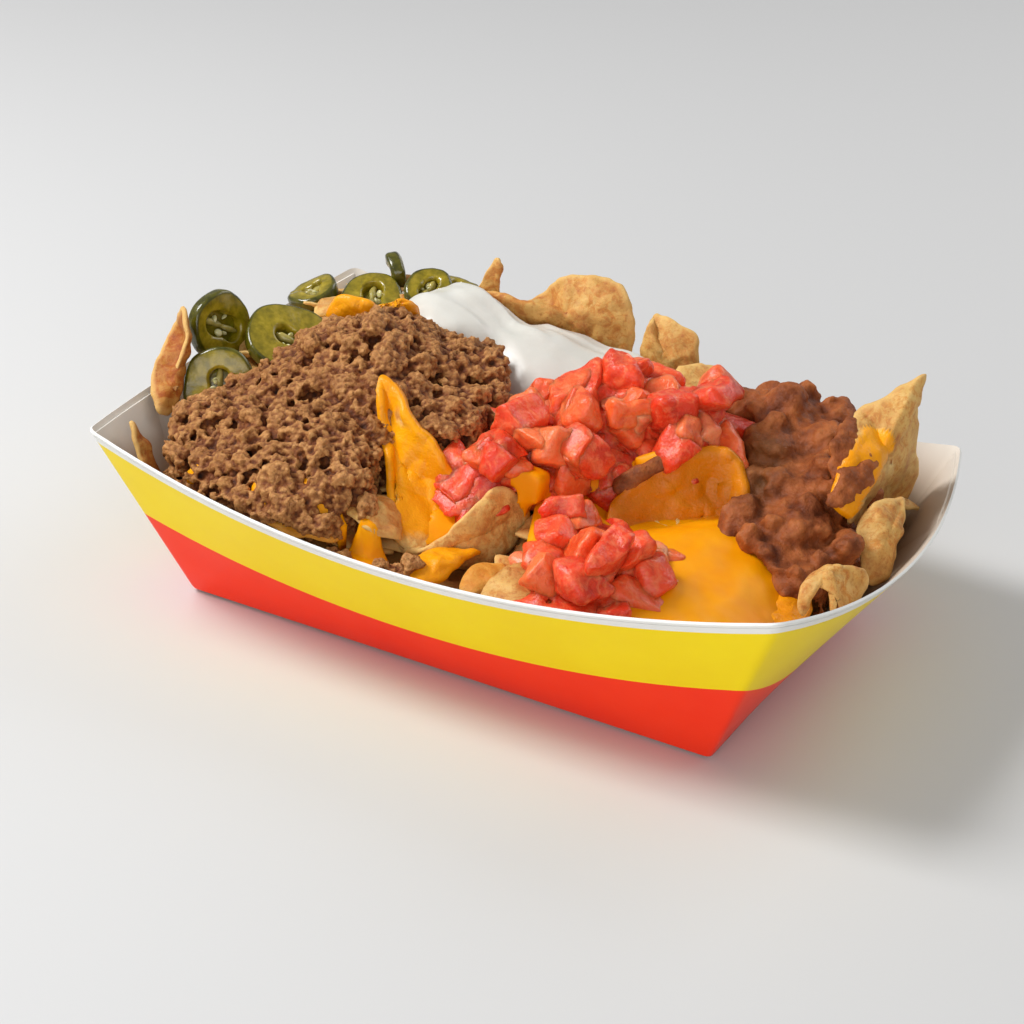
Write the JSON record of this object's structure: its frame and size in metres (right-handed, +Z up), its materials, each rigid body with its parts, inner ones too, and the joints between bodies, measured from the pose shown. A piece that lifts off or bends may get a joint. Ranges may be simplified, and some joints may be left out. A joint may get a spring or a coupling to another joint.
{
  "type": "loaded nachos in a paper tray",
  "caption": "Folded paperboard food tray filled with corn chips, ground beef, cheese sauce, sour cream, beans, diced tomato and jalapeno slices.",
  "frame": {"origin": "middle of the tray's flat bottom, on the surface it stands on", "axes": "+X along the tray's length, to the right as seen from the front; +Y across the tray, away from the front long side; +Z up"},
  "size_m": [0.201, 0.138, 0.0703],
  "materials": {
    "tray_board": "coated paperboard, off-white inside, printed yellow over red outside",
    "corn_chip": "fried corn chip, dry, toasted speckles and blisters",
    "ground_beef": "cooked ground beef, crumbly, slightly greasy",
    "cheese_sauce": "smooth warm cheese sauce",
    "sour_cream": "smooth thick cream in soft folds",
    "refried_beans": "lumpy mashed beans, moist",
    "diced_tomato": "wet translucent tomato flesh",
    "jalapeno": "pickled olive green pepper, wet"
  },
  "bodies": {
    "root": {"tray": "tray_board", "chip_bed": "corn_chip", "chip_left": "corn_chip", "chip_sliver": "corn_chip", "chip_back_coated": "cheese_sauce", "chip_fold": "corn_chip", "chip_tall": "corn_chip", "chip_right": "corn_chip", "chip_curled": "corn_chip", "chip_wavy": "corn_chip", "chip_back": "corn_chip", "beef": "ground_beef", "cheese_pocket": "cheese_sauce", "cheese_sauce": "cheese_sauce", "sour_cream": "sour_cream", "beans": "refried_beans", "tomatoes": "diced_tomato", "tomatoes_front": "diced_tomato", "jalapeno_1": "jalapeno", "jalapeno_2": "jalapeno", "jalapeno_3": "jalapeno", "jalapeno_4": "jalapeno", "jalapeno_5": "jalapeno", "jalapeno_6": "jalapeno", "jalapeno_7": "jalapeno", "jalapeno_8": "jalapeno"}
  },
  "joints": []
}
